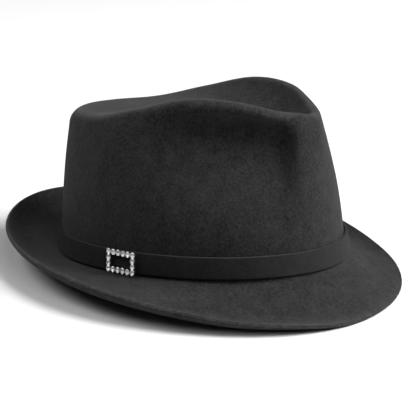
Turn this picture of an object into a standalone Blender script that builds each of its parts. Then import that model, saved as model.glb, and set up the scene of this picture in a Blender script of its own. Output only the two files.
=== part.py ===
"""A black felt trilby: crown and brim in one blocked felt, a felt band and a buckle set with round stones.

Run it with blender --background --python part.py, or from Blender's text editor.
Metres, +Z up. The front of the hat points along -Y and the wearer's right is -X. The hat lies on the
surface z = 0 as it lies by itself, on the front of its brim and on the back of its brim's root.
"""

import math
from collections import namedtuple

import bmesh
import bpy
import numpy as np
from mathutils import Matrix, Vector

# Driving sizes of the felt
HEAD_HALF_WIDTH = 0.0819
HEAD_HALF_LENGTH = 0.0989
FELT = 0.0026
CROWN_HEIGHT = 0.1135
RIDGE_RADIUS = 0.0048
BRIM_WIDTH = 0.051
BREAK_FILLET = 0.0020
SETTLE = 0.0008

# Driving sizes of the band
BAND_WIDTH = 0.0140
BAND_FELT = 0.0020
BAND_EDGE = 0.0005
BAND_LIFT = 0.0014

# Driving sizes of the buckle and its stones
STONE_RADIUS = 0.00165
STONE_PITCH = 0.0038
STONE_CROWN = 0.00055
STONE_PAVILION = 0.00090
STONE_TABLE = 0.00095
STONE_CULET = 0.00030
FRAME_THICKNESS = 0.0018
FRAME_RIM = 0.0003
FRAME_EDGE = 0.00025
BUCKLE_ANGLE = -97.0

# Clearances
PIECE_GAP = 0.0003
STONE_GAP = 0.0001

# How the shape divides, as shares
CREASE_LENGTH = 0.72
CREASE_FRONT = 0.778
CREASE_BACK = 0.830
BEND_START = 0.14
BEND_POWER = 3
PINCH_DEPTH = 6.0
CURL_START = 0.50
CURL_POWER = 1.3

# How finely the meshes are cut
COLUMNS = 64
BRIM_ROWS = 9
FILLET_ROWS = 3
WALL_ROWS = 11
RIDGE_ROWS = 5
DENT_ROWS = 7
CUP_SIDES = 12
STONE_SIDES = 8
STONE_COLUMNS = 6
STONE_ROWS = 4

# Block top: how far the plain crown would taper, as shares of the oval at its foot
BLOCK_WIDTH = 0.93
BLOCK_FRONT = 0.85
BLOCK_BACK = 0.95

# The ridge round the dent. width and length are shares of the oval at the crown's foot, height is a
# share of CROWN_HEIGHT and round a share of RIDGE_RADIUS. pinch is how hollow the wall is below the
# ridge: 0 a plain dome, 1 a dent. fall is how steeply the felt leaves the ridge inwards, in degrees
# downwards, and where it is below nought the felt rises to a domed top.
Ridge = namedtuple("Ridge", "angle width length height round pinch fall")
RIDGE_STATIONS = (
    Ridge(angle=0, width=0.42, length=0.855, height=0.890, round=1.0, pinch=0.10, fall=40.0),
    Ridge(angle=20, width=0.48, length=0.845, height=0.907, round=1.0, pinch=0.15, fall=46.0),
    Ridge(angle=36, width=0.55, length=0.840, height=0.930, round=0.9, pinch=1.25, fall=50.0),
    Ridge(angle=56, width=0.61, length=0.840, height=0.986, round=0.95, pinch=1.35, fall=50.0),
    Ridge(angle=80, width=0.65, length=0.860, height=0.993, round=1.3, pinch=0.85, fall=43.0),
    Ridge(angle=105, width=0.69, length=0.882, height=0.911, round=1.8, pinch=0.20, fall=26.0),
    Ridge(angle=130, width=0.75, length=0.907, height=0.833, round=2.2, pinch=0.05, fall=5.0),
    Ridge(angle=155, width=0.80, length=0.946, height=0.818, round=2.2, pinch=0.0, fall=-11.0),
    Ridge(angle=180, width=0.85, length=0.966, height=0.817, round=2.1, pinch=0.0, fall=-22.0),
)

# The brim. width and foot are shares of BRIM_WIDTH, foot being the height of the break between crown
# and brim, and root and edge are the slopes of the brim in degrees, upwards and outwards.
Brim = namedtuple("Brim", "angle width foot root edge")
BRIM_STATIONS = (
    Brim(angle=0, width=0.83, foot=0.037, root=-35.0, edge=-35.0),
    Brim(angle=45, width=0.94, foot=0.058, root=-35.0, edge=36.0),
    Brim(angle=90, width=1.00, foot=0.046, root=-8.0, edge=56.0),
    Brim(angle=135, width=0.82, foot=-0.018, root=13.0, edge=65.0),
    Brim(angle=180, width=0.84, foot=-0.042, root=29.0, edge=65.0),
)

# Worked out from the driving sizes
FOOT_HALF_WIDTH = HEAD_HALF_WIDTH + FELT
FOOT_HALF_LENGTH = HEAD_HALF_LENGTH + FELT
CUP_RADIUS = STONE_RADIUS + STONE_GAP
CUP_DEPTH = STONE_PAVILION + 2.0 * STONE_GAP
FRAME_BAR = 2.0 * (CUP_RADIUS + FRAME_RIM)
FRAME_LENGTH = (STONE_COLUMNS - 1) * STONE_PITCH + FRAME_BAR
FRAME_HEIGHT = (STONE_ROWS - 1) * STONE_PITCH + FRAME_BAR


def clear_scene():
    """Remove the objects of the scene that the script starts in."""
    for thing in list(bpy.data.objects):
        bpy.data.objects.remove(thing, do_unlink=True)


def make_collection(name):
    """A new collection in the scene."""
    collection = bpy.data.collections.new(name)
    bpy.context.scene.collection.children.link(collection)
    return collection


def make_material(name, colour, roughness, metallic=0.0):
    """A Principled material of one colour."""
    material = bpy.data.materials.new(name)
    material.use_nodes = True
    shader = material.node_tree.nodes["Principled BSDF"]
    shader.inputs["Base Color"].default_value = (*colour, 1.0)
    shader.inputs["Roughness"].default_value = roughness
    shader.inputs["Metallic"].default_value = metallic
    material.diffuse_color = (*colour, 1.0)
    return material


def link_mesh(name, mesh, collection, material):
    """A new object for a mesh, with its material."""
    thing = bpy.data.objects.new(name, mesh)
    collection.objects.link(thing)
    mesh.materials.append(material)
    return thing


def ease(share):
    """A soft step from 0 to 1."""
    share = np.clip(share, 0.0, 1.0)
    return share * share * (3.0 - 2.0 * share)


def around(stations, column, angles):
    """A column of a station table as a smooth curve round the hat, the same on its two sides.

    angles are degrees from the front. Between stations it is a cubic whose slopes come from the
    neighbours, and the curve runs on evenly past the front and the back.
    """
    places = [station.angle for station in stations]
    values = [getattr(station, column) for station in stations]
    places = np.array([-places[1], *places, 360.0 - places[-2]])
    values = np.array([values[1], *values, values[-2]])
    slopes = (values[2:] - values[:-2]) / (places[2:] - places[:-2])
    places, values = places[1:-1], values[1:-1]
    turn = np.abs((np.asarray(angles) + 180.0) % 360.0 - 180.0)
    index = np.clip(np.searchsorted(places, turn, side="right") - 1, 0, len(places) - 2)
    span = places[index + 1] - places[index]
    share = (turn - places[index]) / span
    rise = ease(share)
    leave = share * (1.0 - share) ** 2
    arrive = share * share * (share - 1.0)
    bend = span * (leave * slopes[index] + arrive * slopes[index + 1])
    return values[index] + (values[index + 1] - values[index]) * rise + bend


def foot_oval(angles):
    """Where the crown's wall meets the brim, seen from above."""
    turn = np.radians(angles)
    return np.stack([FOOT_HALF_WIDTH * np.sin(turn), -FOOT_HALF_LENGTH * np.cos(turn)], axis=-1)


def oval_outward(angles):
    """The outward direction of the foot oval."""
    turn = np.radians(angles)
    outward = np.stack([FOOT_HALF_LENGTH * np.sin(turn), -FOOT_HALF_WIDTH * np.cos(turn)], axis=-1)
    return outward / np.linalg.norm(outward, axis=-1, keepdims=True)


def foot_height(angles):
    """The height of the break between crown and brim."""
    return BRIM_WIDTH * around(BRIM_STATIONS, "foot", angles)


def block_oval(angles):
    """The top of the plain block that the wall follows at its foot, seen from above."""
    foot = foot_oval(angles)
    front = ease(0.5 * (1.0 + np.cos(np.radians(angles))))
    length = BLOCK_BACK + (BLOCK_FRONT - BLOCK_BACK) * front
    return np.stack([foot[:, 0] * BLOCK_WIDTH, foot[:, 1] * length], axis=-1)


def ridge_oval(angles):
    """The ridge line seen from above, its height and its radius."""
    foot = foot_oval(angles)
    across = foot[:, 0] * around(RIDGE_STATIONS, "width", angles)
    along = foot[:, 1] * around(RIDGE_STATIONS, "length", angles)
    height = CROWN_HEIGHT * around(RIDGE_STATIONS, "height", angles)
    radius = RIDGE_RADIUS * around(RIDGE_STATIONS, "round", angles)
    return np.stack([across, along], axis=-1), height, radius


def crease_span():
    """The middle of the crease and half its length, along the hat."""
    ends = ridge_oval(np.array([0.0, 180.0]))[0][:, 1]
    return 0.5 * (ends[0] + ends[1]), 0.5 * (ends[1] - ends[0]) * CREASE_LENGTH


def dent_direction(angles):
    """From the ridge line to the crease, seen from above: the direction and the distance."""
    ridge = ridge_oval(angles)[0]
    middle = crease_span()[0]
    along = middle + (ridge[:, 1] - middle) * CREASE_LENGTH
    inward = np.stack([np.zeros_like(along), along], axis=-1) - ridge
    reach = np.linalg.norm(inward, axis=-1)
    return inward / reach[:, None], reach


def ridge_start(angles):
    """Where the wall ends and the ridge starts to turn over: plan, height and lean.

    The lean is the wall's own slope there, so the felt runs on without a kink.
    """
    ridge, height, radius = ridge_oval(angles)
    inward = dent_direction(angles)[0]
    foot, block = foot_oval(angles), block_oval(angles)
    steep = (BEND_POWER - PINCH_DEPTH * around(RIDGE_STATIONS, "pinch", angles)) / (1.0 - BEND_START)
    drift = (block - foot) + (ridge - block) * steep[:, None]
    lean = np.arctan2(np.sum(drift * inward, axis=-1), height - radius - foot_height(angles))
    plan = ridge + inward * (radius * (1.0 - np.cos(lean)))[:, None]
    return plan, height - radius + radius * np.sin(lean), lean


def wall_ring(angles, share):
    """One ring of the crown's wall, share 0 at the break and 1 where the ridge starts to turn over.

    The wall follows a plain tapered block. Higher up it leaves the block for the ridge line, as a dome
    would, and where the station has a pinch it dips inside that line before it comes back to it.
    """
    foot, block = foot_oval(angles), block_oval(angles)
    plan, height, lean = ridge_start(angles)
    pinch = around(RIDGE_STATIONS, "pinch", angles)
    climb = max(0.0, (share - BEND_START) / (1.0 - BEND_START))
    bend = climb ** BEND_POWER * (1.0 + PINCH_DEPTH * pinch * (1.0 - climb))
    low = foot_height(angles)
    return np.column_stack([
        foot + (block - foot) * share + (plan - block) * bend[:, None],
        low + (height - low) * share,
    ])


def crease_line(along):
    """The crease's height and slope at a place along the hat: an even step from front to back."""
    middle, half = crease_span()
    share = np.clip(0.5 + 0.5 * (along - middle) / half, 0.0, 1.0)
    rise = (CREASE_BACK - CREASE_FRONT) * CROWN_HEIGHT
    height = CREASE_FRONT * CROWN_HEIGHT + rise * ease(share)
    return height, rise * 3.0 * share * (1.0 - share) / half


def ridge_rings(angles):
    """The rings that turn over the ridge and run down the dent to the crease.

    Each column turns over the ridge on an arc, then falls in one cubic curve that arrives along the
    crease, level from side to side.
    """
    ridge, height, radius = ridge_oval(angles)
    inward, reach = dent_direction(angles)
    lean = ridge_start(angles)[2]
    fall = np.radians(around(RIDGE_STATIONS, "fall", angles))
    rings = []
    for row in range(1, RIDGE_ROWS + 1):
        turn = lean + (0.5 * math.pi + fall - lean) * row / RIDGE_ROWS
        run = radius * (1.0 - np.cos(turn))
        level = height - radius + radius * np.sin(turn)
        rings.append(np.column_stack([ridge + inward * run[:, None], level]))
    start_run, start_level = run, level
    end_level, end_slope = crease_line(ridge[:, 1] + inward[:, 1] * reach)
    pull = np.hypot(reach - start_run, end_level - start_level)
    for row in range(1, DENT_ROWS + 1):
        share = row / DENT_ROWS
        rise = ease(share)
        leave = share * (1.0 - share) ** 2
        arrive = share * share * (share - 1.0)
        run = start_run + (reach - start_run) * rise
        run += pull * (leave * np.cos(fall) + arrive)
        level = start_level + (end_level - start_level) * rise
        level += pull * (arrive * end_slope * inward[:, 1] - leave * np.sin(fall))
        rings.append(np.column_stack([ridge + inward * run[:, None], level]))
    return rings


def brim_ring(angles, share, steps=40):
    """One ring of the brim's top, share 0 at the break and 1 at its edge.

    The brim leaves the break at its root slope, and from CURL_START on it curls towards its edge
    slope. Reach and rise are that slope added up along the felt.
    """
    root = np.radians(around(BRIM_STATIONS, "root", angles))
    edge = np.radians(around(BRIM_STATIONS, "edge", angles))
    length = BRIM_WIDTH * around(BRIM_STATIONS, "width", angles) * share / steps
    reach = np.zeros_like(angles)
    rise = foot_height(angles)
    for step in range(steps):
        place = share * (step + 0.5) / steps
        curl = max(0.0, (place - CURL_START) / (1.0 - CURL_START)) ** CURL_POWER
        slope = root + (edge - root) * curl
        reach = reach + np.cos(slope) * length
        rise = rise + np.sin(slope) * length
    plan = foot_oval(angles) + oval_outward(angles) * reach[:, None]
    return np.column_stack([plan, rise])


def felt_rings(angles):
    """Every ring of the felt's outer face, from the brim's edge over the crown to the crease."""
    width = BRIM_WIDTH * around(BRIM_STATIONS, "width", angles)
    corner = brim_ring(angles, 0.0)
    brim_start = float(BREAK_FILLET / width.mean())
    wall_start = BREAK_FILLET / CROWN_HEIGHT
    rings = []
    for row in range(BRIM_ROWS):
        rings.append(brim_ring(angles, 1.0 + (brim_start - 1.0) * row / BRIM_ROWS))
    low = brim_ring(angles, brim_start)
    high = wall_ring(angles, wall_start)
    for row in range(FILLET_ROWS + 1):
        share = row / FILLET_ROWS
        rings.append(low * (1.0 - share) ** 2 + corner * 2.0 * share * (1.0 - share) + high * share ** 2)
    for row in range(1, WALL_ROWS + 1):
        rings.append(wall_ring(angles, wall_start + (1.0 - wall_start) * row / WALL_ROWS))
    return rings + ridge_rings(angles)


def ring_faces(ring_count, columns):
    """The quads between rings that follow one another, all turned the same way."""
    faces = []
    for ring in range(ring_count - 1):
        for column in range(columns):
            after = (column + 1) % columns
            low, high = ring * columns, (ring + 1) * columns
            faces.append((low + column, low + after, high + after, high + column))
    return faces


def column_angles():
    """The angles of the mesh's columns, in degrees from the front."""
    return np.arange(COLUMNS) * 360.0 / COLUMNS


def felt_mesh():
    """The felt's outer face as an open surface, with a Solidify modifier for its thickness applied."""
    rings = felt_rings(column_angles())
    mesh = bpy.data.meshes.new("felt_body")
    mesh.from_pydata(np.concatenate(rings).tolist(), [], ring_faces(len(rings), COLUMNS))
    work = bmesh.new()
    work.from_mesh(mesh)
    bmesh.ops.remove_doubles(work, verts=work.verts, dist=1e-7)
    bmesh.ops.recalc_face_normals(work, faces=work.faces)
    work.faces.ensure_lookup_table()
    if work.faces[0].normal.z < 0.0:
        bmesh.ops.reverse_faces(work, faces=work.faces)
    work.to_mesh(mesh)
    work.free()
    surface = bpy.data.objects.new("felt_surface", mesh)
    bpy.context.scene.collection.objects.link(surface)
    shell = surface.modifiers.new("felt thickness", "SOLIDIFY")
    shell.thickness = FELT
    shell.offset = -1.0
    shell.use_even_offset = True
    shell.use_quality_normals = True
    bpy.context.view_layer.update()
    graph = bpy.context.evaluated_depsgraph_get()
    solid = bpy.data.meshes.new_from_object(surface.evaluated_get(graph))
    bpy.data.objects.remove(surface, do_unlink=True)
    bpy.data.meshes.remove(mesh)
    return solid


def mesh_points(mesh):
    """The places of a mesh's vertices as an array."""
    points = np.empty(len(mesh.vertices) * 3)
    mesh.vertices.foreach_get("co", points)
    return points.reshape(-1, 3)


def rest_matrix(points):
    """How the hat lies by itself: tipped until front and back touch, and let down onto z = 0.

    The tip is found by halving, with the lowest point in front of the head and the lowest behind it.
    The origin then lies under the middle of the hat's length.
    """
    front = points[points[:, 1] < 0.0]
    back = points[points[:, 1] >= 0.0]

    def lowest(part, tip):
        return (part[:, 2] * math.cos(tip) + part[:, 1] * math.sin(tip)).min()

    low, high = math.radians(-20.0), math.radians(20.0)
    for _ in range(50):
        tip = 0.5 * (low + high)
        if lowest(front, tip) > lowest(back, tip):
            low = tip
        else:
            high = tip
    drop = lowest(points, tip) + SETTLE
    along = points[:, 1] * math.cos(tip) - points[:, 2] * math.sin(tip)
    middle = 0.5 * (along.min() + along.max())
    return Matrix.Translation((0.0, -middle, -drop)) @ Matrix.Rotation(tip, 4, "X")


def flatten_on_surface(mesh):
    """Press the felt that would lie under z = 0 flat, both of its faces by the same amount."""
    points = mesh_points(mesh)
    half = len(points) // 2
    lift = np.maximum(0.0, -np.minimum(points[:half, 2], points[half:, 2]))
    points[:half, 2] += lift
    points[half:, 2] += lift
    points[np.abs(points[:, 2]) < 1e-7, 2] = 0.0
    mesh.vertices.foreach_set("co", points.ravel())
    mesh.update()


def band_section():
    """The band's cross section: how high up the wall and how far out, with its edges taken off."""
    inner, outer = PIECE_GAP, PIECE_GAP + BAND_FELT
    low, high = BAND_LIFT, BAND_LIFT + BAND_WIDTH
    return (
        (low, inner),
        (low, outer - BAND_EDGE),
        (low + BAND_EDGE, outer),
        (high - BAND_EDGE, outer),
        (high, outer - BAND_EDGE),
        (high, inner),
    )


def wall_frame(angles):
    """At the foot of the wall: its point, its upward direction and its outward direction."""
    foot = wall_ring(angles, 0.0)
    upward = wall_ring(angles, BEND_START) - foot
    upward = upward / np.linalg.norm(upward, axis=-1, keepdims=True)
    outward = np.column_stack([oval_outward(angles), np.zeros_like(angles)])
    outward = outward - upward * np.sum(outward * upward, axis=-1, keepdims=True)
    outward = outward / np.linalg.norm(outward, axis=-1, keepdims=True)
    return foot, upward, outward


def make_band(collection, material, rest):
    """The felt strap round the foot of the crown, one closed loop."""
    foot, upward, outward = wall_frame(column_angles())
    rings = [foot + upward * height + outward * out for height, out in band_section()]
    rings.append(rings[0])
    mesh = bpy.data.meshes.new("hat_band")
    mesh.from_pydata(np.concatenate(rings).tolist(), [], ring_faces(len(rings), COLUMNS))
    work = bmesh.new()
    work.from_mesh(mesh)
    bmesh.ops.remove_doubles(work, verts=work.verts, dist=1e-7)
    bmesh.ops.recalc_face_normals(work, faces=work.faces)
    work.to_mesh(mesh)
    work.free()
    mesh.transform(rest)
    return link_mesh("hat_band", mesh, collection, material)


def buckle_matrix(rest):
    """The buckle's own frame: X along the band, Y up it, Z outwards, origin on the frame's back."""
    foot, upward, outward = (Vector(part[0]) for part in wall_frame(np.array([BUCKLE_ANGLE])))
    along = upward.cross(outward)
    place = foot + upward * (BAND_LIFT + 0.5 * BAND_WIDTH)
    place += outward * (2.0 * PIECE_GAP + BAND_FELT)
    turn = Matrix((along, upward, outward)).transposed().to_4x4()
    return rest @ Matrix.Translation(place) @ turn


def stone_places():
    """Where the stones sit on the frame: all round it, one row and one column thick."""
    places = []
    for row in range(STONE_ROWS):
        for column in range(STONE_COLUMNS):
            if row in (0, STONE_ROWS - 1) or column in (0, STONE_COLUMNS - 1):
                across = (column - 0.5 * (STONE_COLUMNS - 1)) * STONE_PITCH
                up = (0.5 * (STONE_ROWS - 1) - row) * STONE_PITCH
                places.append((across, up))
    return places


def box_mesh(name, size, centre):
    """A box from Blender's cube, with its size along each axis."""
    mesh = bpy.data.meshes.new(name)
    work = bmesh.new()
    shape = Matrix.Translation(centre) @ Matrix.Diagonal((*size, 1.0))
    bmesh.ops.create_cube(work, size=1.0, matrix=shape)
    work.to_mesh(mesh)
    work.free()
    return mesh


def cup_cutter(collection):
    """The cups of all the stones, as one cutter in the buckle's frame."""
    mesh = bpy.data.meshes.new("cup_cutter")
    work = bmesh.new()
    top = FRAME_THICKNESS + CUP_DEPTH
    for across, up in stone_places():
        place = Matrix.Translation((across, up, top - CUP_DEPTH))
        bmesh.ops.create_cone(
            work,
            cap_ends=True,
            segments=CUP_SIDES,
            radius1=CUP_RADIUS,
            radius2=CUP_RADIUS,
            depth=2.0 * CUP_DEPTH,
            matrix=place,
        )
    work.to_mesh(mesh)
    work.free()
    return link_cutter("cup_cutter", mesh, collection)


def link_cutter(name, mesh, collection):
    """A cutter object, drawn as wire and left out of renders."""
    cutter = bpy.data.objects.new(name, mesh)
    collection.objects.link(cutter)
    cutter.hide_render = True
    cutter.display_type = "WIRE"
    return cutter


def make_frame(collection, cutters, material, place):
    """The flat frame: a plate with bevelled edges, its window and the stones' cups cut from it."""
    plate = box_mesh(
        "buckle_frame",
        (FRAME_LENGTH, FRAME_HEIGHT, FRAME_THICKNESS),
        (0.0, 0.0, 0.5 * FRAME_THICKNESS),
    )
    window = box_mesh(
        "window_cutter",
        (FRAME_LENGTH - 2.0 * FRAME_BAR, FRAME_HEIGHT - 2.0 * FRAME_BAR, 3.0 * FRAME_THICKNESS),
        (0.0, 0.0, 0.5 * FRAME_THICKNESS),
    )
    frame = link_mesh("buckle_frame", plate, collection, material)
    window = link_cutter("window_cutter", window, cutters)
    cups = cup_cutter(cutters)
    for thing in (frame, window, cups):
        thing.matrix_world = place
    bevel = frame.modifiers.new("bevelled edges", "BEVEL")
    bevel.width = FRAME_EDGE
    bevel.segments = 1
    for cutter in (window, cups):
        cut = frame.modifiers.new(cutter.name, "BOOLEAN")
        cut.operation = "DIFFERENCE"
        cut.solver = "EXACT"
        cut.object = cutter
    return frame


def stone_mesh(name):
    """A round cut stone: table, crown facets, pavilion facets and a small flat culet."""
    mesh = bpy.data.meshes.new(name)
    work = bmesh.new()
    for near, far, level, height in (
        (STONE_CULET, STONE_RADIUS, -0.5 * STONE_PAVILION, STONE_PAVILION),
        (STONE_RADIUS, STONE_TABLE, 0.5 * STONE_CROWN, STONE_CROWN),
    ):
        bmesh.ops.create_cone(
            work,
            cap_ends=True,
            segments=STONE_SIDES,
            radius1=near,
            radius2=far,
            depth=height,
            matrix=Matrix.Translation((0.0, 0.0, level)),
        )
    bmesh.ops.remove_doubles(work, verts=work.verts, dist=1e-7)
    inside = [face for face in work.faces if all(abs(v.co.z) < 1e-7 for v in face.verts)]
    bmesh.ops.delete(work, geom=inside, context="FACES")
    bmesh.ops.recalc_face_normals(work, faces=work.faces)
    work.to_mesh(mesh)
    work.free()
    return mesh


def make_stones(collection, material, place):
    """The sixteen stones, each in its cup with its girdle level with the frame's face."""
    stones = []
    for number, (across, up) in enumerate(stone_places(), start=1):
        name = f"stone_{number:02d}"
        stone = link_mesh(name, stone_mesh(name), collection, material)
        stone.matrix_world = place @ Matrix.Translation((across, up, FRAME_THICKNESS))
        stones.append(stone)
    return stones


def build():
    """Make every piece of the hat, lying as it lies by itself."""
    clear_scene()
    hat = make_collection("trilby")
    cutters = make_collection("cutters")
    felt = make_material("black wool felt", (0.012, 0.012, 0.013), 0.95)
    strap = make_material("black felt strap", (0.009, 0.009, 0.010), 0.90)
    metal = make_material("plated metal", (0.80, 0.80, 0.82), 0.20, metallic=1.0)
    crystal = make_material("clear crystal", (0.92, 0.94, 0.97), 0.05)
    body = felt_mesh()
    rest = rest_matrix(mesh_points(body))
    body.transform(rest)
    flatten_on_surface(body)
    link_mesh("felt_body", body, hat, felt)
    make_band(hat, strap, rest)
    place = buckle_matrix(rest)
    make_frame(hat, cutters, metal, place)
    make_stones(hat, crystal, place)


build()
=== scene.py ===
"""The looks of a black felt trilby: felt, band, buckle, stones, and the studio that it lies in.

Metres, +Z up. The front of the hat points along -Y and the wearer's right is -X. The shape is worked out in
the hat's own frame, where the middle of the head opening is the origin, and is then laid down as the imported
solids lie.
"""

import math
from collections import namedtuple

import bmesh
import bpy
import numpy as np
from mathutils import Matrix, Vector


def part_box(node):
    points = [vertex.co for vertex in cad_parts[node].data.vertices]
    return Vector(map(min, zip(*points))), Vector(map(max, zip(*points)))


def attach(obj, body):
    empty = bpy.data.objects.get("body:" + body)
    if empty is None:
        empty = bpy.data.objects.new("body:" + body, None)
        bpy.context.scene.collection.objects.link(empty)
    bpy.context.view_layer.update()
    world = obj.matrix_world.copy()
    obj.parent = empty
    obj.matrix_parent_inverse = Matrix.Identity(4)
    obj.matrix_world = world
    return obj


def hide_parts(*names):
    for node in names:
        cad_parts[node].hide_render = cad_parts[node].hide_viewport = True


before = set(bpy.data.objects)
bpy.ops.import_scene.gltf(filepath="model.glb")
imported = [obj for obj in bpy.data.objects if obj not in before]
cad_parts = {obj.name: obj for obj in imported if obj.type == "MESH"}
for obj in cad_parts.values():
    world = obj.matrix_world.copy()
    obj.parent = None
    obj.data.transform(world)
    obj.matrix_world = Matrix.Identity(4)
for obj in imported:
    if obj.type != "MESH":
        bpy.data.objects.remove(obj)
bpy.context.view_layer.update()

bl_info = {
    "name": "Felt trilby",
    "version": (1, 0, 0),
    "blender": (4, 5, 0),
    "location": "3D View > Sidebar > Trilby",
    "description": "Makes a black felt trilby with a crystal-set buckle, and a pale studio for it",
    "category": "Object",
}

# How the shape divides, as shares
CREASE_LENGTH = 0.72
CREASE_FRONT = 0.778
CREASE_BACK = 0.830
BEND_START = 0.14
BEND_POWER = 3
PINCH_DEPTH = 6.0
CURL_START = 0.50
CURL_POWER = 1.3
BLOCK_WIDTH = 0.93
BLOCK_FRONT = 0.85
BLOCK_BACK = 0.95

# The ridge round the dent. width and length are shares of the oval at the crown's foot, height is a share
# of the crown's height and round a share of the ridge's radius. pinch is how hollow the wall is below the
# ridge: 0 a plain dome, 1 a dent. fall is how steeply the felt leaves the ridge inwards, in degrees
# downwards, and where it is below nought the felt rises to a domed top.
Ridge = namedtuple("Ridge", "angle width length height round pinch fall")
RIDGE_STATIONS = (
    Ridge(angle=0, width=0.42, length=0.855, height=0.890, round=1.0, pinch=0.10, fall=40.0),
    Ridge(angle=20, width=0.48, length=0.845, height=0.907, round=1.0, pinch=0.15, fall=46.0),
    Ridge(angle=36, width=0.55, length=0.840, height=0.930, round=0.9, pinch=1.25, fall=50.0),
    Ridge(angle=56, width=0.61, length=0.840, height=0.986, round=0.95, pinch=1.35, fall=50.0),
    Ridge(angle=80, width=0.65, length=0.860, height=0.993, round=1.3, pinch=0.85, fall=43.0),
    Ridge(angle=105, width=0.69, length=0.882, height=0.911, round=1.8, pinch=0.20, fall=26.0),
    Ridge(angle=130, width=0.75, length=0.907, height=0.833, round=2.2, pinch=0.05, fall=5.0),
    Ridge(angle=155, width=0.80, length=0.946, height=0.818, round=2.2, pinch=0.0, fall=-11.0),
    Ridge(angle=180, width=0.85, length=0.966, height=0.817, round=2.1, pinch=0.0, fall=-22.0),
)

# The brim. width and foot are shares of the brim's width, foot being the height of the break between crown
# and brim, and root and edge are the slopes of the brim in degrees, upwards and outwards.
Brim = namedtuple("Brim", "angle width foot root edge")
BRIM_STATIONS = (
    Brim(angle=0, width=0.83, foot=0.037, root=-35.0, edge=-35.0),
    Brim(angle=45, width=0.94, foot=0.058, root=-35.0, edge=36.0),
    Brim(angle=90, width=1.00, foot=0.046, root=-8.0, edge=56.0),
    Brim(angle=135, width=0.82, foot=-0.018, root=13.0, edge=65.0),
    Brim(angle=180, width=0.84, foot=-0.042, root=29.0, edge=65.0),
)

# Slow waves that a hand-blocked felt keeps: a direction, a wavelength in metres and a share of the whole
Wave = namedtuple("Wave", "along length share")
BLOCKING_WAVES = (
    Wave(along=(0.8, 0.5, 0.2), length=0.083, share=0.40),
    Wave(along=(-0.4, 0.8, 0.5), length=0.061, share=0.30),
    Wave(along=(0.2, -0.6, 0.9), length=0.047, share=0.30),
)


class FeltSettings(bpy.types.PropertyGroup):
    """Sizes and colours of the felt body."""

    half_width: bpy.props.FloatProperty(
        name="Half width", description="Half the width of the head opening, inside",
        default=0.0819, unit="LENGTH")
    half_length: bpy.props.FloatProperty(
        name="Half length", description="Half the length of the head opening, inside",
        default=0.0989, unit="LENGTH")
    thickness: bpy.props.FloatProperty(
        name="Felt", description="Thickness of the felt", default=0.0026, unit="LENGTH")
    crown_height: bpy.props.FloatProperty(
        name="Crown height", description="Height of the ridge at its highest",
        default=0.1135, unit="LENGTH")
    ridge_radius: bpy.props.FloatProperty(
        name="Ridge radius", description="How roundly the wall turns over into the dent",
        default=0.0048, unit="LENGTH")
    brim_width: bpy.props.FloatProperty(
        name="Brim width", description="Width of the brim at its sides, along the felt",
        default=0.051, unit="LENGTH")
    break_fillet: bpy.props.FloatProperty(
        name="Break", description="How far the bend between crown and brim reaches each way",
        default=0.0020, unit="LENGTH")
    waviness: bpy.props.FloatProperty(
        name="Waviness", description="How far the blocked felt departs from a smooth form",
        default=0.0003, unit="LENGTH")
    colour: bpy.props.StringProperty(
        name="Colour", description="Colour of the wool felt, as sRGB hex", default="#191919")


class BandSettings(bpy.types.PropertyGroup):
    """Sizes and colours of the band."""

    width: bpy.props.FloatProperty(
        name="Width", description="Width of the strap", default=0.0140, unit="LENGTH")
    thickness: bpy.props.FloatProperty(
        name="Felt", description="Thickness of the strap", default=0.0020, unit="LENGTH")
    edge: bpy.props.FloatProperty(
        name="Edge", description="Radius of the strap's outer edges", default=0.0005, unit="LENGTH")
    lift: bpy.props.FloatProperty(
        name="Lift", description="How far the strap sits above the break", default=0.0014, unit="LENGTH")
    gap: bpy.props.FloatProperty(
        name="Gap", description="Gap between one piece and the next", default=0.0003, unit="LENGTH")
    colour: bpy.props.StringProperty(
        name="Colour", description="Colour of the strap's felt, as sRGB hex", default="#191919")


class BuckleSettings(bpy.types.PropertyGroup):
    """Sizes and colours of the buckle and its stones."""

    angle: bpy.props.FloatProperty(
        name="Place", description="Degrees from the front, towards the wearer's left", default=-97.0)
    columns: bpy.props.IntProperty(
        name="Columns", description="Stones in the top row and in the bottom row", default=6)
    rows: bpy.props.IntProperty(
        name="Rows", description="Stones up each side", default=4)
    pitch: bpy.props.FloatProperty(
        name="Pitch", description="From one stone to the next", default=0.0038, unit="LENGTH")
    stone_radius: bpy.props.FloatProperty(
        name="Stone radius", description="Radius of a stone's girdle", default=0.00165, unit="LENGTH")
    frame_height: bpy.props.FloatProperty(
        name="Height", description="From the frame's back to the girdles", default=0.0018, unit="LENGTH")
    metal_colour: bpy.props.StringProperty(
        name="Metal", description="Colour of the plated metal, as sRGB hex", default="#e6e7ea")
    crystal_colour: bpy.props.StringProperty(
        name="Crystal", description="Colour of the stones, as sRGB hex", default="#fbfcff")


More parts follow.
